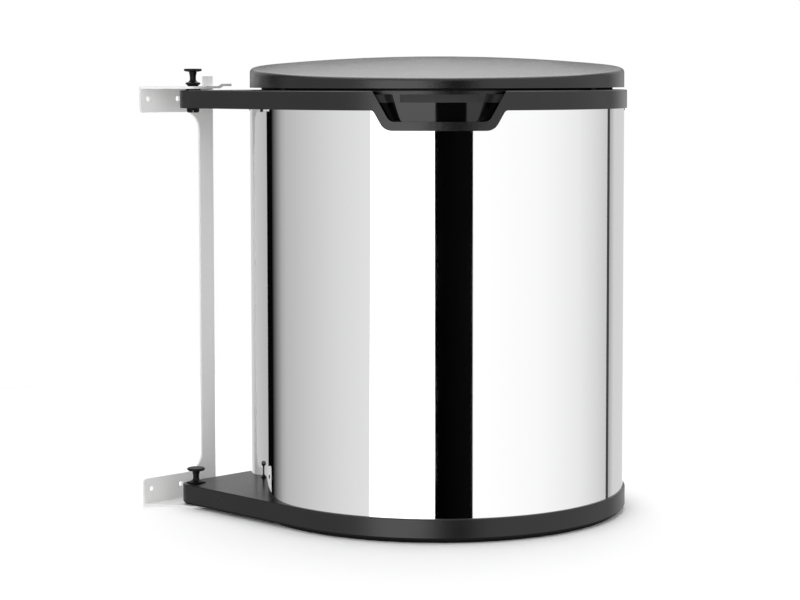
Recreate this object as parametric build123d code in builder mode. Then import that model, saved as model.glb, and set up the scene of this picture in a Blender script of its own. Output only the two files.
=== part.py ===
from build123d import *
import os
from math import cos, radians, sin, sqrt

# A swing-out kitchen bin that hangs on a bent steel bracket screwed to the cupboard.
# Row frame: +Z up, origin at floor level on the axis of the round body,
# +Y out through the bracket into the cupboard wall, +X along that wall.
# The bin's front, with its finger grip, faces the diagonal between -X and -Y.

# Round body
rim_radius = 141.2
jacket_inset = 1.6
jacket_sheet = 0.8
sheet_clearance = 0.2
seam_slit = 0.6
strap_width = 20.0
strap_end_gap = 9.0

# Heights above the floor
tray_lift = 2.6
tray_top = 17.4
rim_bottom = 299.4
rim_height = 13.4
lid_gap = 1.8

# Arms that carry the pivot, one on the rim and one on the tray
arm_reach = 9.8
arm_inset = 6.2
wall = 2.4
boss_wall = 2.6
rib = 2.0
arm_rib_angles = (-20.0, -45.0, -70.0)
edge_break = 0.6

# Pivot
pin_shank_radius = 3.0
pin_tip = 0.6
running_gap = 0.05
bush_wall = 1.2
snap_radius = 4.7
snap_height = 3.2
snap_slit = 1.2
snap_bevel = 1.0
washer_radius = 5.6
knob_radius = 6.7
knob_waist = 2.3
knob_collar = 5.6
knob_seat_radius = 3.6
knob_foot = 1.9
knob_band = 0.7
knob_shoulder = 2.3
knob_neck = 2.4
knob_flare = 3.9
knob_head = 1.9
knob_recess = 1.5
knob_recess_radius = 7.4

# Tray
foot_inset = 5.2
tray_wall = 8.2
tray_floor = 3.0
tray_bevel = 1.6
spigot_height = 7.0
floor_rib_height = 4.0
floor_rib_count = 6
floor_ring_radius = 40.0

# Rim channel, and the small screws that fix it to the jacket from inside
ledge_inset = 15.0
throat_inset = 10.7
throat_depth = 8.0
brim_recess = 4.7
brim_clearance = 0.3
lip_height = 3.0
rim_screw_count = 4
rim_screw_bite = 1.0
screw_head_radius = 3.0
screw_head_height = 1.6
screw_shank_radius = 1.4
screw_slot = 0.8

# Finger grip at the front
grip_half_width = 46.0
grip_slope = 0.56
grip_depth = 21.1
grip_corner = 6.0
grip_frame = 6.2
grip_frame_corner = 9.0
frame_fillet = 3.0
notch_margin = 3.0
pocket_wall = 1.5
pocket_web = 2.3
pocket_back_gap = 0.5
pocket_curve_radius = 113.0
pocket_half_width = 33.2
pocket_slope = 0.36

# Lid
lid_inset = 2.1
lid_wall = 2.4
lid_height = 23.6
crown_drop = 16.8
crest_offset = 75.0
crease_round = 3.2
lid_rib_depth = 3.0
lid_rib_count = 8
lid_ring_radius = 62.0
lid_rib_gap = 18.0
buffer_radius = 2.6
buffer_boss_radius = 3.2
buffer_height = 3.6
buffer_inset = 5.7
buffer_angle = 55.0

# Lid hinge behind the rim
hinge_standoff = 7.8
hinge_rise = 1.2
rod_radius = 2.0
ear_radius = 5.0
ear_inner = 30.0
ear_outer = 37.0
knuckle_radius = 4.4
knuckle_inner = 20.0
knuckle_side_gap = 0.4
block_half_width = 42.0
block_thickness = 2.1
block_height = 7.2
block_drop = 4.6
block_screw_offset = 12.0
cap_radius = 3.6
cap_height = 2.2
cap_bevel = 0.7
nut_radius = 3.2
nut_height = 2.4

# Bucket
bucket_gap = 1.0
bucket_taper = 7.2
bucket_wall = 1.8
bucket_corner = 2.0
bucket_floor_gap = 3.0
bucket_flange = 3.2
bucket_flange_height = 2.2
bucket_grip_width = 84.0
bucket_grip_depth = 10.0

# Wall bracket, bent from one steel sheet
bracket_sheet = 1.8
ear_gap = 1.0
wall_gap = 12.3
upper_plate = 19.5
lower_plate = 20.4
plate_reach = 28.4
post_offset = 28.0
post_width = 13.2
window_corner = 14.0
plate_corner = 2.5
ear_round = 11.0
tab_height = 7.5
tab_inset = 4.0
tongue_step = 1.7
tongue_length = 11.9
tongue_start = 0.4
tongue_width = 10.0
screw_hole_radius = 2.0
screw_offset = 21.2
screw_pitch = 28.0
screw_above_floor = 12.3
screw_below_top = 9.3

# Radii worked out from the rim's, so that the pieces keep together
jacket_radius = rim_radius - jacket_inset
jacket_inner = jacket_radius - jacket_sheet
band_inner = jacket_radius + sheet_clearance
foot_radius = rim_radius - foot_inset
tray_cavity_radius = rim_radius - tray_wall
throat_radius = rim_radius - throat_inset
ledge_radius = rim_radius - ledge_inset
bucket_top_radius = ledge_radius - bucket_gap
bucket_bottom_radius = bucket_top_radius - bucket_taper
brim_radius = bucket_top_radius + bucket_flange + brim_clearance
pocket_inner_radius = throat_radius - pocket_web
pocket_back_radius = throat_radius + pocket_back_gap
lid_radius = rim_radius - lid_inset
lid_rib_reach = lid_radius - lid_rib_gap
buffer_circle = lid_radius - buffer_inset
crown_reach = lid_radius + crest_offset
crown_radius = (crown_reach**2 + crown_drop**2) / (2 * crown_drop)
bush_radius = pin_shank_radius + running_gap + bush_wall
boss_radius = bush_radius + running_gap + boss_wall

# Heights worked out
rim_top = rim_bottom + rim_height
lid_bottom = rim_top + lid_gap
lid_top = lid_bottom + lid_height
jacket_top = rim_top - wall - sheet_clearance
grip_bottom = rim_top - grip_depth
pocket_top = rim_top - throat_depth - running_gap
bucket_bottom = tray_floor + floor_rib_height + bucket_floor_gap
bucket_brim = rim_top - brim_recess + 2 * running_gap
hinge_height = rim_top + hinge_rise
block_top = rim_top - block_drop
block_bottom = block_top - block_height
block_middle = (block_bottom + block_top) / 2
knob_seat = tray_top - knob_recess
flange_bottom = rim_top + ear_gap
bracket_height = flange_bottom + bracket_sheet

# Places worked out
arm_back = rim_radius - arm_inset
pin_x = -(rim_radius - arm_reach)
pin_y = arm_back - arm_reach
block_out = rim_radius + block_thickness
hinge_out = rim_radius + hinge_standoff
wall_y = rim_radius + wall_gap
bracket_left = pin_x - plate_reach
post_left = pin_x + post_offset
post_right = post_left + post_width
tongue_joggle = post_right + tongue_start
tongue_right = post_right + tongue_length
screw_left = pin_x - screw_offset
screw_rise = bracket_height - screw_below_top - screw_above_floor
side = 1 / sqrt(2)


def front_point(across, back, up):
    """A point given across and behind the bin's front, turned into the row frame."""
    return (side * (across + back), side * (back - across), up)


def front_plane(back):
    """Upright plane facing the bin's front; its x runs across and its y runs up."""
    return Plane(origin=front_point(0, back, 0), x_dir=(1, -1, 0), z_dir=(-1, -1, 0))


def side_plane(across):
    """Upright plane seen from the bin's side; its x runs towards the back and its y up."""
    return Plane(origin=front_point(across, 0, 0), x_dir=(1, 1, 0), z_dir=(1, -1, 0))


def level(height):
    """Level plane turned so that its -Y side is the bin's front."""
    return Plane(origin=(0, 0, height), x_dir=(1, -1, 0), z_dir=(0, 0, 1))


def rim_outline(inset=0.0):
    """The round rim with one square corner that reaches out to the pivot."""
    with BuildSketch(Plane.XY) as outline:
        with Locations((-(rim_radius - inset) / 2, (arm_back - inset) / 2)):
            Rectangle(rim_radius - inset, arm_back - inset)
        fillet(outline.vertices().group_by(Axis.X)[0].sort_by(Axis.Y)[-1], arm_reach - inset)
        Circle(rim_radius - inset)
    return outline.sketch


def arm_hollow():
    """The space inside the arm, less the pivot's boss and the ribs that run from it."""
    with BuildSketch(Plane.XY) as hollow:
        add(rim_outline(wall))
        Circle(rim_radius, mode=Mode.SUBTRACT)
        with Locations((pin_x, pin_y)):
            Circle(boss_radius, mode=Mode.SUBTRACT)
        reach = rim_radius / 2
        for angle in arm_rib_angles:
            middle_x = pin_x + reach / 2 * cos(radians(angle))
            middle_y = pin_y + reach / 2 * sin(radians(angle))
            with Locations(Location((middle_x, middle_y), angle)):
                Rectangle(reach, rib, mode=Mode.SUBTRACT)
    return hollow.sketch


def grip_outline(grow, corner, top):
    """Outline of the finger opening, wide at its top, grown outwards by a margin."""
    shift = grow * sqrt(1 + grip_slope**2)
    low = grip_bottom - grow
    half_top = grip_half_width + shift - grip_slope * (rim_top - top)
    half_low = grip_half_width + shift - grip_slope * (rim_top - low)
    with BuildSketch(Plane.XY) as outline:
        with BuildLine():
            Polyline(
                (-half_top, top), (-half_low, low), (half_low, low), (half_top, top), close=True
            )
        make_face()
        fillet(outline.vertices().group_by(Axis.Y)[0], corner)
    return outline.sketch


def pin_circle(radius, bottom, height):
    """An upright round slug on the pivot's axis."""
    with BuildPart() as slug:
        with BuildSketch(Plane.XY.offset(bottom)):
            with Locations((pin_x, pin_y)):
                Circle(radius)
        extrude(amount=height)
    return slug.part


def solid_ring(outer, inner, bottom, top):
    """A plain upright ring on the body's axis."""
    with BuildPart() as ring:
        with BuildSketch(Plane.XY.offset(bottom)):
            Circle(outer)
            Circle(inner, mode=Mode.SUBTRACT)
        extrude(amount=top - bottom)
    return ring.part


def round_slab(radius, bottom, top):
    """A plain upright cylinder on the body's axis."""
    with BuildPart() as slab:
        with BuildSketch(Plane.XY.offset(bottom)):
            Circle(radius)
        extrude(amount=top - bottom)
    return slab.part


def block_screw_slugs(radius, start, end):
    """Two slugs through the hinge block, between two distances behind the body's axis."""
    with BuildPart() as slugs:
        for across in (-block_screw_offset, block_screw_offset):
            with BuildSketch(
                Plane(origin=front_point(across, start, block_middle), z_dir=(1, 1, 0))
            ):
                Circle(radius)
            extrude(amount=end - start)
    return slugs.part


def rim_screw_slugs(radius, start, end):
    """Slugs spaced round the rim, between two distances from the body's axis."""
    with BuildPart() as slugs:
        for n in range(rim_screw_count):
            angle = radians(360 / rim_screw_count * n)
            outward = (cos(angle), sin(angle), 0)
            place = (start * cos(angle), start * sin(angle), block_middle)
            with BuildSketch(Plane(origin=place, z_dir=outward)):
                Circle(radius)
            extrude(amount=end - start)
    return slugs.part


# Steel jacket: a mirror-bright sheet rolled to a cylinder, notched behind the grip
with BuildPart() as steel_jacket:
    with BuildSketch(Plane.XY.offset(tray_top)):
        Circle(jacket_radius)
        Circle(jacket_inner, mode=Mode.SUBTRACT)
    extrude(amount=jacket_top - tray_top)
    with BuildSketch(level(tray_top)):
        with Locations((0, jacket_radius)):
            Rectangle(seam_slit, 4 * jacket_sheet)
    extrude(amount=jacket_top - tray_top, mode=Mode.SUBTRACT)
    with BuildSketch(front_plane(-ledge_radius)):
        add(grip_outline(notch_margin, grip_corner + notch_margin, rim_top))
    extrude(amount=rim_radius - ledge_radius, mode=Mode.SUBTRACT)
    add(block_screw_slugs(screw_shank_radius, ledge_radius, block_out), mode=Mode.SUBTRACT)
    add(rim_screw_slugs(screw_shank_radius, ledge_radius, band_inner), mode=Mode.SUBTRACT)

# Strap welded behind the jacket's seam
with BuildPart() as seam_strap:
    add(
        solid_ring(
            jacket_inner - running_gap,
            jacket_inner - running_gap - jacket_sheet,
            tray_top + strap_end_gap,
            rim_bottom - strap_end_gap,
        )
    )
    with BuildSketch(level(0)):
        with Locations((0, jacket_radius)):
            Rectangle(strap_width, jacket_radius / 2)
    extrude(amount=rim_top, mode=Mode.INTERSECT)

# Rim: channel over the jacket, hollow arm with ribs, and the frame round the grip
with BuildPart() as grip_band:
    with BuildSketch(front_plane(-ledge_radius)):
        add(grip_outline(grip_frame, grip_frame_corner, rim_top))
    extrude(amount=rim_radius - ledge_radius + 1)
    add(
        solid_ring(rim_radius, band_inner, grip_bottom - grip_frame - 1, rim_top),
        mode=Mode.INTERSECT,
    )

with BuildPart() as grip_cut:
    with BuildSketch(front_plane(-throat_radius / 2)):
        add(grip_outline(0, grip_corner, rim_top + 1))
    extrude(amount=rim_radius)
    add(round_slab(throat_radius, 0, 2 * rim_top), mode=Mode.SUBTRACT)

with BuildPart() as rim_ring:
    with BuildSketch(Plane.XY.offset(rim_bottom)):
        add(rim_outline())
    extrude(amount=rim_height)
    add(grip_band.part)
    under_rim = rim_ring.edges().filter_by_position(Axis.Z, rim_bottom - wall, rim_bottom + wall)
    fillet(under_rim.filter_by(GeomType.LINE).sort_by(SortBy.LENGTH)[:2], frame_fillet)
    chamfer(rim_ring.faces().sort_by(Axis.Z)[-1].edges(), edge_break)
    add(round_slab(throat_radius, rim_top, rim_top + lip_height))
    with BuildSketch(Plane.XY.offset(rim_bottom)):
        Circle(band_inner)
        Circle(throat_radius, mode=Mode.SUBTRACT)
    extrude(amount=rim_height - wall, mode=Mode.SUBTRACT)
    with BuildSketch(Plane.XY.offset(rim_bottom)):
        Circle(throat_radius)
    extrude(amount=rim_height - throat_depth, mode=Mode.SUBTRACT)
    add(round_slab(ledge_radius, rim_bottom, rim_top), mode=Mode.SUBTRACT)
    add(round_slab(brim_radius, rim_top - brim_recess, lid_bottom + rim_height), mode=Mode.SUBTRACT)
    with BuildSketch(Plane.XY.offset(rim_bottom)):
        add(arm_hollow())
    extrude(amount=rim_height - wall, mode=Mode.SUBTRACT)
    add(pin_circle(bush_radius + running_gap, rim_bottom, rim_height), mode=Mode.SUBTRACT)
    add(grip_cut.part, mode=Mode.SUBTRACT)
    add(block_screw_slugs(screw_shank_radius, jacket_inner, block_out), mode=Mode.SUBTRACT)
    add(
        rim_screw_slugs(screw_shank_radius, jacket_inner, band_inner + rim_screw_bite),
        mode=Mode.SUBTRACT,
    )

# Screws driven outwards from inside the jacket into the rim
with BuildPart() as rim_screws:
    head_seat = jacket_inner - running_gap
    add(rim_screw_slugs(screw_head_radius, head_seat - screw_head_height, head_seat))
    add(
        rim_screw_slugs(
            screw_shank_radius - running_gap, head_seat, band_inner + rim_screw_bite - running_gap
        )
    )

# Glossy finger pocket set behind the opening
with BuildPart() as pocket_hollow:
    with BuildSketch(front_plane(-rim_radius)):
        add(grip_outline(0, grip_corner, rim_top + 1))
    with BuildSketch(front_plane(-ledge_radius)):
        half_low = pocket_half_width - pocket_slope * (rim_top - grip_bottom)
        with BuildLine():
            Polyline(
                (-pocket_half_width, rim_top + 1),
                (-half_low, grip_bottom),
                (half_low, grip_bottom),
                (pocket_half_width, rim_top + 1),
                close=True,
            )
        make_face()
    loft()
    with BuildSketch(Plane(origin=front_point(0, pocket_curve_radius - pocket_back_radius, 0))):
        Circle(pocket_curve_radius)
    extrude(amount=2 * rim_top, mode=Mode.SUBTRACT)

with BuildPart() as finger_pocket:
    with BuildSketch(front_plane(-throat_radius / 2)):
        add(grip_outline(pocket_wall, grip_corner + pocket_wall, rim_top))
    extrude(amount=rim_radius)
    add(
        solid_ring(
            jacket_inner - sheet_clearance,
            pocket_inner_radius,
            grip_bottom - 2 * pocket_wall,
            rim_top - wall - running_gap,
        ),
        mode=Mode.INTERSECT,
    )
    add(
        round_slab(throat_radius + running_gap, pocket_top, rim_top),
        mode=Mode.SUBTRACT,
    )
    add(pocket_hollow.part, mode=Mode.SUBTRACT)

# Base tray with its arm, hollow and ribbed underneath
with BuildPart() as base_tray:
    with BuildSketch(Plane.XY.offset(tray_lift)):
        add(rim_outline())
    extrude(amount=tray_top - tray_lift)
    chamfer(base_tray.faces().sort_by(Axis.Z)[0].edges(), tray_bevel)
    chamfer(base_tray.faces().sort_by(Axis.Z)[-1].edges(), edge_break)
    with BuildSketch(Plane.XY.offset(tray_lift)):
        add(arm_hollow())
    extrude(amount=tray_top - tray_lift - wall, mode=Mode.SUBTRACT)
    with BuildSketch():
        Circle(foot_radius)
    extrude(amount=tray_lift)
    with BuildSketch(Plane.XY.offset(tray_top)):
        Circle(jacket_inner - sheet_clearance)
    extrude(amount=spigot_height)
    with BuildSketch(Plane.XY.offset(tray_floor)):
        Circle(tray_cavity_radius)
    extrude(amount=tray_top + spigot_height, mode=Mode.SUBTRACT)
    with BuildSketch(Plane.XY.offset(tray_floor)):
        with PolarLocations(floor_ring_radius, floor_rib_count):
            with Locations(((tray_cavity_radius - floor_ring_radius) / 2, 0)):
                Rectangle(tray_cavity_radius - floor_ring_radius + 1, rib)
        Circle(floor_ring_radius + rib)
        Circle(floor_ring_radius, mode=Mode.SUBTRACT)
    extrude(amount=floor_rib_height)
    add(pin_circle(bush_radius + running_gap, 0, tray_top), mode=Mode.SUBTRACT)
    add(pin_circle(knob_recess_radius, knob_seat, knob_recess), mode=Mode.SUBTRACT)

# Bucket that hangs on the rim's ledge, its brim dipped at both sides to lift it by
bucket_lip = bucket_brim + bucket_flange_height
bucket_inner_top = bucket_top_radius - bucket_wall
bucket_inner_bottom = bucket_bottom_radius - bucket_wall
with BuildPart() as inner_bucket:
    with BuildSketch(Plane.XZ):
        with BuildLine():
            Polyline(
                (0, bucket_bottom),
                (bucket_bottom_radius - bucket_corner, bucket_bottom),
                (bucket_bottom_radius, bucket_bottom + bucket_corner),
                (bucket_top_radius, bucket_brim),
                (bucket_top_radius + bucket_flange, bucket_brim),
                (bucket_top_radius + bucket_flange, bucket_lip),
                (bucket_inner_top, bucket_lip),
                (bucket_inner_bottom, bucket_bottom + bucket_wall),
                (0, bucket_bottom + bucket_wall),
                close=True,
            )
        make_face()
    revolve(axis=Axis.Z)
    with BuildSketch(side_plane(-rim_radius)):
        with Locations((0, bucket_lip)):
            SlotOverall(bucket_grip_width, 2 * bucket_grip_depth)
    extrude(amount=2 * rim_radius, mode=Mode.SUBTRACT)

# Hinge block bolted to the back of the rim, with an ear at each end
with BuildPart() as lid_hinge_block:
    with BuildSketch(side_plane(-block_half_width)):
        with Locations(((block_out + throat_radius) / 2, block_middle)):
            Rectangle(block_out - throat_radius, block_height)
    extrude(amount=2 * block_half_width)
    for start in (ear_inner, -ear_outer):
        with BuildSketch(side_plane(start)):
            with Locations((hinge_out, hinge_height)):
                Circle(ear_radius)
            with Locations((block_out - block_thickness, block_middle)):
                Rectangle(2 * block_thickness, block_height)
            make_hull()
        extrude(amount=ear_outer - ear_inner)
    add(round_slab(rim_radius + running_gap, 0, 2 * rim_top), mode=Mode.SUBTRACT)
    with BuildSketch(side_plane(-block_half_width)):
        with Locations((hinge_out, hinge_height)):
            Circle(rod_radius + running_gap)
    extrude(amount=2 * block_half_width, mode=Mode.SUBTRACT)
    add(block_screw_slugs(screw_shank_radius, rim_radius - 1, block_out), mode=Mode.SUBTRACT)

with BuildPart() as hinge_block_screws:
    add(block_screw_slugs(screw_head_radius, block_out, block_out + screw_head_height))
    for across in (-block_screw_offset, block_screw_offset):
        with BuildSketch(
            Plane(
                origin=front_point(across, block_out + screw_head_height, block_middle),
                z_dir=(1, 1, 0),
            )
        ):
            Rectangle(3 * screw_head_radius, screw_slot)
        extrude(amount=-screw_head_height / 2, mode=Mode.SUBTRACT)
    add(
        block_screw_slugs(
            screw_shank_radius - running_gap, jacket_inner - 2 * nut_height, block_out
        )
    )

with BuildPart() as hinge_block_nuts:
    nut_seat = sqrt(jacket_inner**2 - (block_screw_offset + nut_radius) ** 2) - running_gap
    for across in (-block_screw_offset, block_screw_offset):
        with BuildSketch(Plane(origin=front_point(across, nut_seat, block_middle), z_dir=(1, 1, 0))):
            RegularPolygon(nut_radius, 6)
        extrude(amount=-nut_height)
    add(block_screw_slugs(screw_shank_radius, ledge_radius, block_out), mode=Mode.SUBTRACT)

rod_half_length = ear_outer + running_gap + cap_height * 3 / 4
with BuildPart() as lid_hinge_rod:
    with BuildSketch(side_plane(-rod_half_length)):
        with Locations((hinge_out, hinge_height)):
            Circle(rod_radius)
    extrude(amount=2 * rod_half_length)

with BuildPart() as rod_end_caps:
    for start in (ear_outer + running_gap, -ear_outer - running_gap - cap_height):
        with BuildSketch(side_plane(start)):
            with Locations((hinge_out, hinge_height)):
                Circle(cap_radius)
        extrude(amount=cap_height)
    outer_rims = rod_end_caps.edges().filter_by(GeomType.CIRCLE).sort_by(Axis.X)
    chamfer((outer_rims[0], outer_rims[-1]), cap_bevel)
    with BuildSketch(side_plane(-rod_half_length - running_gap)):
        with Locations((hinge_out, hinge_height)):
            Circle(rod_radius + running_gap)
    extrude(amount=2 * (rod_half_length + running_gap), mode=Mode.SUBTRACT)

# Lid: a low dome whose crest lies behind the middle, so its edge drops to the front
crown_centre = front_point(0, crest_offset, lid_top - crown_radius)


def under_crown(profile, bottom, drop):
    """An upright prism on a level profile that ends at the lid's dome, lowered by a drop."""
    with BuildPart() as prism:
        with BuildSketch(level(bottom)):
            add(profile)
        extrude(amount=2 * (lid_top - lid_bottom))
        with Locations(crown_centre):
            Sphere(crown_radius - drop, mode=Mode.INTERSECT)
    return prism.part


with BuildSketch(Plane.XY) as lid_disc:
    Circle(lid_radius)

with BuildSketch(Plane.XY) as lid_hollow:
    Circle(lid_radius - lid_wall)

with BuildSketch(Plane.XY) as lid_ribs:
    Circle(lid_ring_radius + rib / 2)
    Circle(lid_ring_radius - rib / 2, mode=Mode.SUBTRACT)
    with PolarLocations(lid_ring_radius, lid_rib_count):
        with Locations(((lid_rib_reach - lid_ring_radius) / 2, 0)):
            Rectangle(lid_rib_reach - lid_ring_radius, rib)


def at_buffers(radius):
    """A circle at each of the two buffers, left and right of the finger grip."""
    with BuildSketch(Plane.XY) as circles:
        for angle in (-90 - buffer_angle, -90 + buffer_angle):
            with PolarLocations(buffer_circle, 1, start_angle=angle):
                Circle(radius)
    return circles.sketch


with BuildPart() as lid_rib_net:
    add(under_crown(lid_ribs.sketch, lid_bottom, lid_wall / 2))
    add(
        under_crown(lid_disc.sketch, lid_bottom - 1, lid_wall + lid_rib_depth),
        mode=Mode.SUBTRACT,
    )

with BuildPart() as lid_shell:
    add(under_crown(lid_disc.sketch, lid_bottom, 0))
    fillet(lid_shell.faces().sort_by(Axis.Z)[-1].edges(), crease_round)
    add(under_crown(lid_hollow.sketch, lid_bottom - 1, lid_wall), mode=Mode.SUBTRACT)
    add(lid_rib_net.part)
    add(under_crown(at_buffers(buffer_boss_radius), rim_top + buffer_height, lid_wall / 2))
    for start in (knuckle_inner, -ear_inner + knuckle_side_gap):
        with BuildSketch(side_plane(start)):
            with Locations((hinge_out, hinge_height)):
                Circle(knuckle_radius)
            with Locations((lid_radius - lid_wall / 2, lid_bottom + knuckle_radius)):
                Rectangle(lid_wall, 2 * knuckle_radius)
            make_hull()
        extrude(amount=ear_inner - knuckle_inner - knuckle_side_gap)
    with BuildSketch(side_plane(-ear_inner)):
        with Locations((hinge_out, hinge_height)):
            Circle(rod_radius + running_gap)
    extrude(amount=2 * ear_inner, mode=Mode.SUBTRACT)

with BuildPart() as lid_buffers:
    with BuildSketch(level(rim_top + 2 * running_gap)):
        add(at_buffers(buffer_radius))
    extrude(amount=buffer_height - 2 * running_gap)


# Pivot pins: a spool-shaped knob on a plain shank, pulled out by hand
def pivot_pin(seat, shank_end):
    """A pull-out pin whose knob sits at one height and whose shank ends at another."""
    band_low = seat + knob_foot
    band_high = band_low + knob_band
    neck_low = band_high + knob_shoulder
    neck_high = neck_low + knob_neck
    head_low = neck_high + knob_flare
    head_high = head_low + knob_head
    with BuildPart() as pin:
        with BuildSketch(Plane.XZ):
            with BuildLine():
                Polyline(
                    (0, shank_end),
                    (pin_shank_radius - pin_tip, shank_end),
                    (pin_shank_radius, shank_end + pin_tip),
                    (pin_shank_radius, seat),
                    (knob_seat_radius, seat),
                    (knob_collar, band_low),
                    (knob_collar, band_high),
                    ((knob_collar + knob_waist) / 2, band_high + edge_break),
                    (knob_waist + edge_break, (band_high + neck_low) / 2),
                    (knob_waist, neck_low),
                    (knob_waist, neck_high),
                    (knob_waist + edge_break, head_low - edge_break),
                    (knob_radius - edge_break, head_low),
                    (knob_radius, head_low + edge_break),
                    (knob_radius, head_high - edge_break),
                    (knob_radius - edge_break, head_high),
                    (0, head_high),
                    close=True,
                )
            make_face()
        revolve(axis=Axis.Z)
    return pin.part.moved(Location((pin_x, pin_y, 0)))


upper_pivot_pin = pivot_pin(bracket_height, rim_bottom - snap_height / 2)
lower_pivot_pin = pivot_pin(knob_seat, pin_tip / 2)

# Sleeve in each arm, the upper one with a split snap end, and a washer beside each ear
with BuildPart() as upper_pivot_bush:
    add(pin_circle(snap_radius, rim_bottom - snap_height - running_gap, snap_height))
    chamfer(upper_pivot_bush.edges().sort_by(Axis.Z)[0], snap_bevel)
    add(pin_circle(bush_radius, rim_bottom - snap_height, rim_height + snap_height))
    add(
        pin_circle(
            pin_shank_radius + running_gap, rim_bottom - 2 * snap_height, 2 * rim_height
        ),
        mode=Mode.SUBTRACT,
    )
    with BuildSketch(Plane.XY.offset(rim_bottom - 2 * snap_height)):
        with Locations((pin_x, pin_y)):
            Rectangle(snap_slit, 4 * snap_radius, rotation=-45)
    extrude(amount=2 * snap_height, mode=Mode.SUBTRACT)

with BuildPart() as lower_pivot_bush:
    add(pin_circle(bush_radius, tray_lift, knob_seat - tray_lift))
    add(pin_circle(pin_shank_radius + running_gap, 0, 2 * tray_top), mode=Mode.SUBTRACT)

with BuildPart() as upper_thrust_washer:
    add(
        pin_circle(
            washer_radius,
            rim_top + running_gap,
            flange_bottom - rim_top - 2 * running_gap,
        )
    )
    add(pin_circle(pin_shank_radius + running_gap, 0, 2 * rim_top), mode=Mode.SUBTRACT)

with BuildPart() as lower_thrust_washer:
    add(
        pin_circle(
            washer_radius,
            bracket_sheet + running_gap,
            tray_lift - bracket_sheet - 2 * running_gap,
        )
    )
    add(pin_circle(pin_shank_radius + running_gap, 0, 2 * tray_top), mode=Mode.SUBTRACT)

# Wall bracket: two screw plates joined by a post, with an ear bent out at each end
plate_plane = Plane(origin=(0, wall_y, 0), x_dir=(1, 0, 0), z_dir=(0, -1, 0))
window_top = bracket_height - upper_plate


def window_outline():
    """The opening between the two screw plates, open towards the left."""
    with BuildSketch(Plane.XY) as window:
        left = bracket_left - lower_plate
        with Locations(((left + post_left) / 2, (lower_plate + window_top) / 2)):
            Rectangle(post_left - left, window_top - lower_plate)
        fillet(window.vertices().group_by(Axis.X)[-1], window_corner)
    return window.sketch


with BuildSketch(Plane.XY) as pivot_ear:
    with Locations((pin_x, pin_y)):
        Circle(ear_round)
    with Locations(((bracket_left + post_left) / 2, wall_y - bracket_sheet / 2)):
        Rectangle(post_left - bracket_left, bracket_sheet)
    make_hull()

with BuildPart() as wall_bracket:
    with BuildSketch(plate_plane) as plate:
        with Locations(((bracket_left + post_right) / 2, bracket_height / 2)):
            Rectangle(post_right - bracket_left, bracket_height)
        add(window_outline(), mode=Mode.SUBTRACT)
        fillet(plate.vertices().group_by(Axis.X)[0].sort_by(Axis.Y)[1:3], plate_corner)
    extrude(amount=bracket_sheet)
    for bottom in (0, flange_bottom):
        with BuildSketch(Plane.XY.offset(bottom)):
            add(pivot_ear.sketch)
        extrude(amount=bracket_sheet)
    with BuildSketch(Plane.XZ.offset(-wall_y)):
        tongue_level = flange_bottom + bracket_sheet
        with BuildLine():
            Polyline(
                (post_left, flange_bottom),
                (tongue_joggle, flange_bottom),
                (tongue_joggle + 2 * tongue_step, flange_bottom + tongue_step),
                (tongue_right, flange_bottom + tongue_step),
                (tongue_right, tongue_level + tongue_step),
                (tongue_joggle + tongue_step, tongue_level + tongue_step),
                (tongue_joggle - tongue_step, tongue_level),
                (post_left, tongue_level),
                close=True,
            )
        make_face()
    extrude(amount=tongue_width)
    with BuildSketch(plate_plane):
        tab_width = post_right - post_left - tab_inset
        with Locations((post_right - tab_width / 2, bracket_height + tab_height / 2)):
            Rectangle(tab_width, tab_height)
    extrude(amount=bracket_sheet)
    with Locations(plate_plane.offset(bracket_sheet)):
        with Locations((screw_left + screw_pitch / 2, screw_above_floor + screw_rise / 2)):
            with GridLocations(screw_pitch, screw_rise, 2, 2):
                Hole(screw_hole_radius, 2 * bracket_sheet)
    add(pin_circle(pin_shank_radius + running_gap, 0, 2 * bracket_height), mode=Mode.SUBTRACT)

pieces = {
    "wall_bracket": wall_bracket.part,
    "upper_pivot_pin": upper_pivot_pin,
    "lower_pivot_pin": lower_pivot_pin,
    "upper_pivot_bush": upper_pivot_bush.part,
    "lower_pivot_bush": lower_pivot_bush.part,
    "upper_thrust_washer": upper_thrust_washer.part,
    "lower_thrust_washer": lower_thrust_washer.part,
    "rim_ring": rim_ring.part,
    "rim_screws": rim_screws.part,
    "finger_pocket": finger_pocket.part,
    "steel_jacket": steel_jacket.part,
    "seam_strap": seam_strap.part,
    "base_tray": base_tray.part,
    "inner_bucket": inner_bucket.part,
    "lid_hinge_block": lid_hinge_block.part,
    "hinge_block_screws": hinge_block_screws.part,
    "hinge_block_nuts": hinge_block_nuts.part,
    "lid_hinge_rod": lid_hinge_rod.part,
    "rod_end_caps": rod_end_caps.part,
    "lid_shell": lid_shell.part,
    "lid_buffers": lid_buffers.part,
}

os.makedirs("parts", exist_ok=True)
for name, piece in pieces.items():
    piece.label = name
    export_step(piece, f"parts/{name}.step")
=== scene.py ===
import math

import bpy
from mathutils import Matrix, Vector

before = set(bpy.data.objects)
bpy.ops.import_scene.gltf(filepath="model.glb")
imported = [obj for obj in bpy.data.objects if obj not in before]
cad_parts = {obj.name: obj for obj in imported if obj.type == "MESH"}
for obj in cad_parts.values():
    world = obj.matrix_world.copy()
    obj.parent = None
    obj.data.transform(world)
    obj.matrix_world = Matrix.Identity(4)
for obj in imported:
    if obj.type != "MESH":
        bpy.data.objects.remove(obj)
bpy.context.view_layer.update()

# Camera: a long lens in front of the finger grip, level with the lid and looking
# slightly down. Its frame is moved down, so that the body's sides stay upright.
lens_mm = 97.7
sensor_mm = 36
frame_shift = -0.0873
nearest_seen = 0.01
camera_place = Vector((-1.1618, -1.1329, 0.3229))
camera_heading = Vector((0.7022, 0.7084, 0))
camera_pitch = 0.0708
camera_roll = -0.0014

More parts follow.
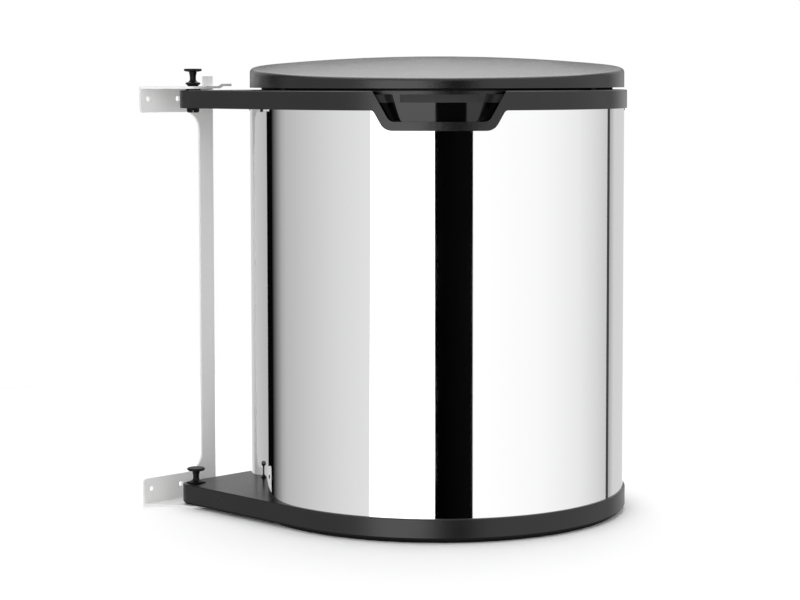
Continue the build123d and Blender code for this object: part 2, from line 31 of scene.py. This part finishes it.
aim = camera_heading.normalized() * math.cos(camera_pitch)
aim.z = -math.sin(camera_pitch)
to_right = aim.cross(Vector((0, 0, 1))).normalized()
to_top = to_right.cross(aim)
camera_right = to_right * math.cos(camera_roll) + to_top * math.sin(camera_roll)
camera_top = to_top * math.cos(camera_roll) - to_right * math.sin(camera_roll)

camera_data = bpy.data.cameras.new("camera")
camera_data.lens = lens_mm
camera_data.sensor_width = sensor_mm
camera_data.shift_y = frame_shift
camera_data.clip_start = nearest_seen
camera = bpy.data.objects.new("camera", camera_data)
bpy.context.scene.collection.objects.link(camera)
camera_turn = Matrix((camera_right, camera_top, -aim)).transposed()
camera.matrix_world = Matrix.Translation(camera_place) @ camera_turn.to_4x4()
bpy.context.scene.camera = camera
bpy.context.scene.view_settings.view_transform = "Standard"

# Floor: a plain white disc under the bin. The camera sees it lifted to white, and
# it keeps the soft shadow where the tray stands.
floor_radius = 0.75
floor_corners = 96
floor_paper_tone = 0.85
floor_lift_tone = 0.22


def add_node(tree, kind, **values):
    """A new shader node. Its operation or data type is set first, and then each input
    gets its value or link. An input goes by its name, or by i and its number."""
    node = tree.nodes.new(kind)
    for setting in ("operation", "data_type"):
        if setting in values:
            setattr(node, setting, values.pop(setting))
    for key, value in values.items():
        numbered = key[0] == "i" and key[1:].isdigit()
        socket = node.inputs[int(key[1:]) if numbered else key.replace("_", " ")]
        if isinstance(value, bpy.types.NodeSocket):
            tree.links.new(value, socket)
        else:
            socket.default_value = value
    return node


def studio_material(name):
    """A material of the studio and its tree, which starts with no nodes."""
    material = bpy.data.materials.new(name)
    material.use_nodes = True
    material.node_tree.nodes.clear()
    return material, material.node_tree


def link_mesh(name, verts, faces):
    """A mesh object made from corners and faces, linked to the scene."""
    mesh = bpy.data.meshes.new(name)
    mesh.from_pydata(verts, [], faces)
    mesh.validate()
    piece = bpy.data.objects.new(name, mesh)
    bpy.context.scene.collection.objects.link(piece)
    return piece


floor_turns = [math.tau * n / floor_corners for n in range(floor_corners)]
floor_edge = [(floor_radius * math.cos(a), floor_radius * math.sin(a), 0) for a in floor_turns]
floor = link_mesh("floor", floor_edge, [list(range(floor_corners))])
floor_paper, floor_tree = studio_material("white floor")
floor_seen = add_node(floor_tree, "ShaderNodeLightPath")
floor_tone = add_node(
    floor_tree, "ShaderNodeMath", operation="MULTIPLY_ADD",
    i0=floor_seen.outputs["Is Camera Ray"], i1=floor_lift_tone, i2=floor_paper_tone,
)
paper = add_node(floor_tree, "ShaderNodeBsdfDiffuse", Color=floor_tone.outputs[0])
add_node(floor_tree, "ShaderNodeOutputMaterial", Surface=paper.outputs[0])
floor.data.materials.append(floor_paper)
floor.visible_glossy = False

# Studio: white sheets and black flags that stand in a ring round the bin. The
# polished steel mirrors them as its upright light and dark bands. They are hidden
# from the camera, so that every view has a clean white background.
ring_radius = 1.15
ring_foot = -1.3
ring_top = 1.25
rear_dim_foot = 0.28
rear_dim_top = 0.52
diagonal = math.sqrt(0.5)

strip_light, strip_tree = studio_material("studio sheet")
strip_tone = add_node(strip_tree, "ShaderNodeAttribute")
strip_tone.attribute_name = "tone"
strip_glow = add_node(strip_tree, "ShaderNodeEmission", Color=strip_tone.outputs["Color"])
add_node(strip_tree, "ShaderNodeOutputMaterial", Surface=strip_glow.outputs[0])


def studio_strip(
    name, start, end, light_start, light_end, steps=8, foot=ring_foot, top=ring_top, rise=1.0
):
    """An upright curved sheet between two angles from the camera side, with its light
    at each end. The light rises by a factor from foot to top."""
    verts = []
    tones = []
    for n in range(steps + 1):
        share = n / steps
        angle = math.radians(start + (end - start) * share)
        across = ring_radius * math.sin(angle)
        back = -ring_radius * math.cos(angle)
        x = (across + back) * diagonal
        y = (back - across) * diagonal
        verts += [(x, y, foot), (x, y, top)]
        light = light_start + (light_end - light_start) * share
        tones += [light, light * rise]
    faces = [(2 * n, 2 * n + 1, 2 * n + 3, 2 * n + 2) for n in range(steps)]
    strip = link_mesh(name, verts, faces)
    tone = strip.data.color_attributes.new("tone", "FLOAT_COLOR", "POINT")
    for n, value in enumerate(tones):
        tone.data[n].color = (value, value, value, 1)
    strip.data.materials.append(strip_light)
    strip.visible_camera = False
    strip.visible_shadow = False


# Each row: name, first and last angle, light at the first and at the last, steps.
ring_rows = (
    ("left_rear_sheet", -158, -120.6, 0.66, 0.49, 8),
    ("left_flag", -120.6, -114, 0.002, 0.002, 8),
    ("left_edge_fade", -114, -103.3, 0.01, 0.42, 8),
    ("left_soft_edge", -103.3, -99, 0.42, 0.50, 8),
    ("left_grey_sheet", -99, -60, 0.50, 0.71, 16),
    ("left_grey_end", -60, -39.3, 0.71, 0.79, 8),
    ("left_white_sheet", -39.3, -1.85, 2.2, 2.2, 12),
    ("front_flag", -1.85, 19.35, 0.0, 0.003, 8),
    ("right_white_sheet", 19.35, 60, 1.08, 1.0, 12),
    ("right_fading_sheet", 60, 90, 1.0, 0.86, 16),
    ("right_fade_end", 90, 108, 0.86, 0.71, 8),
    ("right_grey_end", 108, 119.3, 0.71, 0.60, 8),
    ("right_flag", 119.3, 122.8, 0.05, 0.06, 8),
    ("right_rear_fade", 122.8, 130, 0.40, 0.64, 8),
    ("right_rear_sheet", 130, 158, 0.66, 0.68, 8),
)
for ring_row in ring_rows:
    studio_strip(*ring_row)

# Rear sheets: they stand behind the bin, one above the other. The dim one gives the
# far side of the lid its darker sheen, and the one above it the paler front.
studio_strip("rear_low_sheet", 158, 202, 1.0, 1.0, top=rear_dim_foot)
studio_strip("rear_dim_sheet", 158, 202, 0.08, 0.08, foot=rear_dim_foot, top=rear_dim_top)
studio_strip("rear_bright_sheet", 155, 205, 0.6, 0.6, foot=rear_dim_top, rise=4.6)

# Overhead light: one wide soft sheet above and a little behind the bin, which
# gives the lid its pale sheen and the tray its soft shadow on the floor.
overhead_width = 1.6
overhead_depth = 1.2
overhead_watts = 9
overhead_place = Vector((0.35, 0.35, 1.35))
overhead_target = Vector((0, 0, 0.2))

overhead = bpy.data.lights.new("overhead_sheet", "AREA")
overhead.shape = "RECTANGLE"
overhead.size = overhead_width
overhead.size_y = overhead_depth
overhead.energy = overhead_watts
overhead_lamp = bpy.data.objects.new("overhead_sheet", overhead)
bpy.context.scene.collection.objects.link(overhead_lamp)
overhead_lamp.location = overhead_place
overhead_way = overhead_target - overhead_place
overhead_lamp.rotation_euler = overhead_way.to_track_quat("-Z", "Y").to_euler()
overhead_lamp.visible_camera = False

# Background: white to the camera and to what reflects, dark only to reflections of
# what is straight below, and a plain even light on everything else.
plain_tone = 0.65
below_tone = 0.05
below_full = -0.85
below_gone = -0.6

world = bpy.data.worlds.new("studio")
bpy.context.scene.world = world
world.use_nodes = True
sky = world.node_tree
sky.nodes.clear()
sky_paths = add_node(sky, "ShaderNodeLightPath")
sky_way = add_node(sky, "ShaderNodeTexCoord")
sky_height = add_node(sky, "ShaderNodeSeparateXYZ", i0=sky_way.outputs["Generated"])
sky_tone = add_node(
    sky, "ShaderNodeMapRange", Value=sky_height.outputs["Z"],
    From_Min=below_full, From_Max=below_gone, To_Min=below_tone, To_Max=1.0,
)
sky_white = add_node(
    sky, "ShaderNodeMath", operation="MAXIMUM",
    i0=sky_tone.outputs[0], i1=sky_paths.outputs["Is Camera Ray"],
)
white_back = add_node(sky, "ShaderNodeBackground", Color=sky_white.outputs[0])
plain_light = add_node(sky, "ShaderNodeBackground", Color=(plain_tone, plain_tone, plain_tone, 1))
sky_seen = add_node(
    sky, "ShaderNodeMath", operation="MAXIMUM",
    i0=sky_paths.outputs["Is Camera Ray"], i1=sky_paths.outputs["Is Glossy Ray"],
)
sky_through = add_node(
    sky, "ShaderNodeMath", operation="MAXIMUM",
    i0=sky_seen.outputs[0], i1=sky_paths.outputs["Is Transmission Ray"],
)
sky_mix = add_node(
    sky, "ShaderNodeMixShader",
    i0=sky_through.outputs[0], i1=plain_light.outputs[0], i2=white_back.outputs[0],
)
add_node(sky, "ShaderNodeOutputWorld", Surface=sky_mix.outputs[0])

# Steel jacket: the round body, one stainless sheet with a mirror polish, rolled and
# seam-welded at the back. The polish shows only faint upright streaks and the odd
# soft smudge from wiping.
steel_tone = (0.94, 0.94, 0.945, 1)


def new_finish(name):
    """A finish for the bin's pieces: its material, its node tree and its shader."""
    material = bpy.data.materials.new(name)
    material.use_nodes = True
    tree = material.node_tree
    return material, tree, tree.nodes["Principled BSDF"]


def dress(piece_name, material):
    """Gives a solid of the bin its finish, in place of the one that it came with."""
    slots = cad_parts[piece_name].data.materials
    slots.clear()
    slots.append(material)


def value_group(name, inputs, outputs):
    """A node group with named number inputs and outputs, and its two end nodes."""
    group = bpy.data.node_groups.new(name, "ShaderNodeTree")
    for label, value in inputs:
        socket = group.interface.new_socket(label, in_out="INPUT", socket_type="NodeSocketFloat")
        socket.default_value = value
    for label in outputs:
        group.interface.new_socket(label, in_out="OUTPUT", socket_type="NodeSocketFloat")
    return group, group.nodes.new("NodeGroupInput"), group.nodes.new("NodeGroupOutput")


def place_group(tree, group, **values):
    """Puts a node group into a finish, with that finish's own values."""
    node = tree.nodes.new("ShaderNodeGroup")
    node.node_tree = group
    for key, value in values.items():
        node.inputs[key.replace("_", " ")].default_value = value
    return node


# Wiping marks: broad soft clouds and fine upright streaks, used to vary the gloss
# of smooth pieces that hands and cloths touch.
streak_squeeze = (1.0, 1.0, 0.02)
marks_faintest = 0.15
marks_strongest = 0.38

wiping, wiping_in, wiping_out = value_group(
    "wiping marks",
    [("Cloud Scale", 14.0), ("Streak Scale", 260.0), ("Low", 0.02), ("High", 0.06)],
    ["Gloss"],
)
wiping_place = add_node(wiping, "ShaderNodeTexCoord")
clouds = add_node(
    wiping, "ShaderNodeTexNoise", Vector=wiping_place.outputs["Object"],
    Scale=wiping_in.outputs["Cloud Scale"], Detail=3.0,
)
upright = add_node(
    wiping, "ShaderNodeMapping", Vector=wiping_place.outputs["Object"], Scale=streak_squeeze
)
streaks = add_node(
    wiping, "ShaderNodeTexNoise", Vector=upright.outputs[0],
    Scale=wiping_in.outputs["Streak Scale"], Detail=2.0,
)
both_marks = add_node(
    wiping, "ShaderNodeMath", operation="MULTIPLY", i0=clouds.outputs[0], i1=streaks.outputs[0]
)
marks_gloss = add_node(
    wiping, "ShaderNodeMapRange", Value=both_marks.outputs[0],
    From_Min=marks_faintest, From_Max=marks_strongest,
    To_Min=wiping_in.outputs["Low"], To_Max=wiping_in.outputs["High"],
)
wiping.links.new(marks_gloss.outputs[0], wiping_out.inputs["Gloss"])

mirror_steel, steel_tree, steel = new_finish("mirror polished steel")
steel.inputs["Metallic"].default_value = 1.0
steel.inputs["Base Color"].default_value = steel_tone
steel_marks = place_group(steel_tree, wiping, Low=0.015, High=0.04)
steel_tree.links.new(steel_marks.outputs["Gloss"], steel.inputs["Roughness"])
dress("steel_jacket", mirror_steel)

# Seam strap, screws, nuts and hinge rod: small steel parts, pressed or cut from
# wire, and plated with zinc. They are bright but not polished, with the mottled
# sheen that such plating has.
zinc_dark = (0.42, 0.43, 0.45, 1)
zinc_pale = (0.66, 0.66, 0.65, 1)
spangle_scale = 420.0


def two_tones(tree, share, dark, pale, dark_until=0.0, pale_from=1.0):
    """A ramp that takes a share from a dark tone to a pale one."""
    ramp = add_node(tree, "ShaderNodeValToRGB", Fac=share)
    first, last = ramp.color_ramp.elements
    first.position = dark_until
    first.color = dark
    last.position = pale_from
    last.color = pale
    return ramp


plated_steel, plate_tree, plate = new_finish("zinc plated steel")
plate.inputs["Metallic"].default_value = 1.0
plate_place = add_node(plate_tree, "ShaderNodeTexCoord")
spangle = add_node(
    plate_tree, "ShaderNodeTexNoise", Vector=plate_place.outputs["Object"],
    Scale=spangle_scale, Detail=3.0,
)
plate_colour = two_tones(plate_tree, spangle.outputs[0], zinc_dark, zinc_pale)
plate_tree.links.new(plate_colour.outputs[0], plate.inputs["Base Color"])
plate_marks = place_group(plate_tree, wiping, Cloud_Scale=90.0, Low=0.2, High=0.42)
plate_tree.links.new(plate_marks.outputs["Gloss"], plate.inputs["Roughness"])
for plated in (
    "seam_strap",
    "rim_screws",
    "hinge_block_screws",
    "hinge_block_nuts",
    "lid_hinge_rod",
):
    dress(plated, plated_steel)

# Moulded grain: the fine spark texture that the tools for the lid, rim and tray
# give the plastic. It is a height for bump and a small change of gloss.
patch_scale = 24.0
patch_dullest = 0.3
patch_brightest = 0.7

grain, grain_in, grain_out = value_group(
    "moulded grain", [("Size", 1500.0), ("Low", 0.36), ("High", 0.5)], ["Height", "Gloss"]
)
grain_place = add_node(grain, "ShaderNodeTexCoord")
pits = add_node(
    grain, "ShaderNodeTexNoise", Vector=grain_place.outputs["Object"],
    Scale=grain_in.outputs["Size"], Detail=2.0,
)
patches = add_node(
    grain, "ShaderNodeTexNoise", Vector=grain_place.outputs["Object"],
    Scale=patch_scale, Detail=3.0,
)
patch_gloss = add_node(
    grain, "ShaderNodeMapRange", Value=patches.outputs[0],
    From_Min=patch_dullest, From_Max=patch_brightest,
    To_Min=grain_in.outputs["Low"], To_Max=grain_in.outputs["High"],
)
grain.links.new(pits.outputs[0], grain_out.inputs["Height"])
grain.links.new(patch_gloss.outputs[0], grain_out.inputs["Gloss"])

# Rim ring and hinge block: dark grey moulded plastic with a fine grain. The ring sits
# over the steel's edge, held by four screws from inside, and the block is bolted
# behind it. The lip that stands up inside the ring, under the lid, lies in the dark:
# above its foot the ring and the block are painted dead black and dull, as painted shade.
rim_lip_foot = 0.3129
# Painted shade: the dead black given to deep gaps in the plastic.
painted_shade_black = (0.0005, 0.0005, 0.0005, 1)
cloud_scale = 9.0
cloud_dark_until = 0.35
cloud_pale_from = 0.65


def moulded_plastic(
    name, dark, pale, grain_size, grain_depth, gloss_low, gloss_high, shine=0.5, painted_shade=None
):
    """A grained plastic: two near tones, the grain's scale and depth, the range of its
    roughness, and its shine. Above or below a given height it is painted dead black and
    dull: painted shade that stands in for the dark of a deep gap."""
    material, tree, shader = new_finish(name)
    shader.inputs["Specular IOR Level"].default_value = shine
    place = add_node(tree, "ShaderNodeTexCoord")
    cloud = add_node(
        tree, "ShaderNodeTexNoise", Vector=place.outputs["Object"], Scale=cloud_scale, Detail=4.0
    )
    colour = two_tones(
        tree, cloud.outputs[0], (*dark, 1), (*pale, 1), cloud_dark_until, cloud_pale_from
    ).outputs[0]
    marks = place_group(tree, grain, Size=grain_size, Low=gloss_low, High=gloss_high)
    roughness = marks.outputs["Gloss"]
    # Painted shade for a deep gap: past the given height the colour turns dead black and the
    # roughness full.
    if painted_shade:
        side, shade_height = painted_shade
        height = add_node(tree, "ShaderNodeSeparateXYZ", Vector=place.outputs["Object"])
        in_painted_shade = add_node(
            tree, "ShaderNodeMath", operation=side, i0=height.outputs["Z"], i1=shade_height
        )
        colour = add_node(
            tree, "ShaderNodeMix", data_type="RGBA",
            Factor=in_painted_shade.outputs[0], i6=colour, i7=painted_shade_black,
        ).outputs[2]
        roughness = add_node(
            tree, "ShaderNodeMath", operation="MAXIMUM", i0=roughness, i1=in_painted_shade.outputs[0]
        ).outputs[0]
    tree.links.new(colour, shader.inputs["Base Color"])
    tree.links.new(roughness, shader.inputs["Roughness"])
    bump = add_node(
        tree, "ShaderNodeBump", Height=marks.outputs["Height"], Strength=1.0, Distance=grain_depth
    )
    tree.links.new(bump.outputs[0], shader.inputs["Normal"])
    return material


rim_plastic = moulded_plastic(
    "grained rim plastic",
    dark=(0.004, 0.004, 0.0042),
    pale=(0.006, 0.006, 0.0063),
    grain_size=1900.0,
    grain_depth=0.00007,
    gloss_low=0.18,
    gloss_high=0.26,
    painted_shade=("GREATER_THAN", rim_lip_foot),
)
dress("rim_ring", rim_plastic)
dress("lid_hinge_block", rim_plastic)

# Base tray: moulded from the same plastic as the rim, in a duller grain. The steel
# stands on it, round a low inner wall. The bevel at its foot lies in the dark: below
# the bevel's top the tray is painted dead black and dull, as painted shade.
tray_bevel_top = 0.0042

tray_plastic = moulded_plastic(
    "grained tray plastic",
    dark=(0.003, 0.003, 0.0031),
    pale=(0.005, 0.005, 0.0052),
    grain_size=1900.0,
    grain_depth=0.00004,
    gloss_low=0.26,
    gloss_high=0.34,
    painted_shade=("LESS_THAN", tray_bevel_top),
)
dress("base_tray", tray_plastic)

# Finger pocket: one black moulding, set in behind the opening of the grip. Its
# panel is polished, the band along its top is dull, and its cheeks, which lean
# outwards as they rise, lie in the dark of the opening. That dark is painted shade:
# the cheeks are made metallic on the near-black tone, a little less along the band.
band_foot = 0.3048
cheek_reach = 0.0278
cheek_foot = 0.294
cheek_slope = 0.4
cheek_shade_cut_at_band = 0.4
band_dullness = 0.6
panel_tone = (0.002, 0.002, 0.002, 1)
band_tone = (0.02, 0.02, 0.02, 1)
along_grip = (diagonal, -diagonal, 0)

pocket_plastic, pocket_tree, pocket = new_finish("polished pocket plastic")
pocket_place = add_node(pocket_tree, "ShaderNodeTexCoord")
pocket_height = add_node(
    pocket_tree, "ShaderNodeSeparateXYZ", Vector=pocket_place.outputs["Object"]
)
on_band = add_node(
    pocket_tree, "ShaderNodeMath", operation="GREATER_THAN",
    i0=pocket_height.outputs["Z"], i1=band_foot,
)
sideways = add_node(
    pocket_tree, "ShaderNodeVectorMath", operation="DOT_PRODUCT",
    i0=pocket_place.outputs["Object"], i1=along_grip,
)
aside = add_node(
    pocket_tree, "ShaderNodeMath", operation="ABSOLUTE", i0=sideways.outputs["Value"]
)
leaned = add_node(
    pocket_tree, "ShaderNodeMath", operation="MULTIPLY_ADD",
    i0=pocket_height.outputs["Z"], i1=-cheek_slope, i2=aside.outputs[0],
)
on_cheek = add_node(
    pocket_tree, "ShaderNodeMath", operation="GREATER_THAN",
    i0=leaned.outputs[0], i1=cheek_reach - cheek_slope * cheek_foot,
)
# Painted shade on the cheeks: full metallic on the near-black tone shows dead black; along the
# band it is weakened.
cheek_shade = add_node(
    pocket_tree, "ShaderNodeMath", operation="MULTIPLY_ADD",
    i0=on_band.outputs[0], i1=-cheek_shade_cut_at_band, i2=on_cheek.outputs[0],
)
cheek_painted_black = add_node(
    pocket_tree, "ShaderNodeMath", operation="MAXIMUM", i0=cheek_shade.outputs[0], i1=0.0
)
pocket_tree.links.new(cheek_painted_black.outputs[0], pocket.inputs["Metallic"])
pocket_tone = two_tones(pocket_tree, on_band.outputs[0], panel_tone, band_tone)
pocket_tree.links.new(pocket_tone.outputs[0], pocket.inputs["Base Color"])
pocket_marks = place_group(pocket_tree, wiping, Low=0.03, High=0.09)
pocket_gloss = add_node(
    pocket_tree, "ShaderNodeMath", operation="MULTIPLY_ADD",
    i0=on_band.outputs[0], i1=band_dullness, i2=pocket_marks.outputs["Gloss"],
)
pocket_tree.links.new(pocket_gloss.outputs[0], pocket.inputs["Roughness"])
dress("finger_pocket", pocket_plastic)

# Bucket: thin grey plastic with a satin skin, moulded in one. It hangs by its brim in
# the recess of the rim and lifts out.
bucket_plastic = moulded_plastic(
    "bucket plastic",
    dark=(0.045, 0.046, 0.048),
    pale=(0.055, 0.056, 0.058),
    grain_size=900.0,
    grain_depth=0.00003,
    gloss_low=0.3,
    gloss_high=0.42,
)
dress("inner_bucket", bucket_plastic)

# Lid: one dark grey moulding with a fine leathery grain on its dome. It turns on the
# steel rod behind the rim.
lid_plastic = moulded_plastic(
    "grained lid plastic",
    dark=(0.004, 0.004, 0.0042),
    pale=(0.006, 0.006, 0.0063),
    grain_size=1400.0,
    grain_depth=0.00009,
    gloss_low=0.17,
    gloss_high=0.25,
)
dress("lid_shell", lid_plastic)

# Lid buffers: two soft stops of black rubber, cut from rod and stuck under the bosses
# of the lid, that keep it off the rim.
buffer_rubber = moulded_plastic(
    "buffer rubber",
    dark=(0.012, 0.012, 0.012),
    pale=(0.02, 0.02, 0.02),
    grain_size=2500.0,
    grain_depth=0.00004,
    gloss_low=0.6,
    gloss_high=0.75,
)
dress("lid_buffers", buffer_rubber)

# Pivot pins, sleeves, upper washer and rod caps: black nylon, turned or moulded, with
# a satin skin. The pins drop through the sleeves in the two arms of the bin.
pin_nylon = moulded_plastic(
    "black nylon",
    dark=(0.003, 0.003, 0.003),
    pale=(0.005, 0.005, 0.005),
    grain_size=1600.0,
    grain_depth=0.00003,
    gloss_low=0.35,
    gloss_high=0.45,
    shine=0.15,
)
for nylon_piece in (
    "upper_pivot_pin",
    "lower_pivot_pin",
    "rod_end_caps",
    "upper_pivot_bush",
    "lower_pivot_bush",
    "upper_thrust_washer",
):
    dress(nylon_piece, pin_nylon)

# Lower washer: punched from a sheet of natural nylon, laid between the lower arm and
# the bracket's ear.
washer_nylon = moulded_plastic(
    "natural nylon",
    dark=(0.55, 0.55, 0.53),
    pale=(0.62, 0.62, 0.60),
    grain_size=1600.0,
    grain_depth=0.00003,
    gloss_low=0.35,
    gloss_high=0.5,
)
dress("lower_thrust_washer", washer_nylon)

# Wall bracket: one cut and bent steel sheet under a white powder coat with a slight
# orange peel. Four screws hold it to the cupboard's wall or door.
coat_dark = (0.85, 0.85, 0.845, 1)
coat_pale = (0.9, 0.9, 0.895, 1)
coat_cloud_scale = 30.0
coat_gloss_layer = 0.2
peel_scale = 700.0
peel_depth = 0.00006

bracket_coat, coat_tree, coat = new_finish("white powder coat")
coat_place = add_node(coat_tree, "ShaderNodeTexCoord")
coat_cloud = add_node(
    coat_tree, "ShaderNodeTexNoise", Vector=coat_place.outputs["Object"],
    Scale=coat_cloud_scale, Detail=3.0,
)
coat_colour = two_tones(coat_tree, coat_cloud.outputs[0], coat_dark, coat_pale)
coat_tree.links.new(coat_colour.outputs[0], coat.inputs["Base Color"])
coat.inputs["Coat Weight"].default_value = coat_gloss_layer
peel = add_node(
    coat_tree, "ShaderNodeTexNoise", Vector=coat_place.outputs["Object"],
    Scale=peel_scale, Detail=2.0,
)
peel_bump = add_node(coat_tree, "ShaderNodeBump", Height=peel.outputs[0], Distance=peel_depth)
coat_tree.links.new(peel_bump.outputs[0], coat.inputs["Normal"])
coat_marks = place_group(coat_tree, wiping, Cloud_Scale=60.0, Low=0.32, High=0.45)
coat_tree.links.new(coat_marks.outputs["Gloss"], coat.inputs["Roughness"])
dress("wall_bracket", bracket_coat)
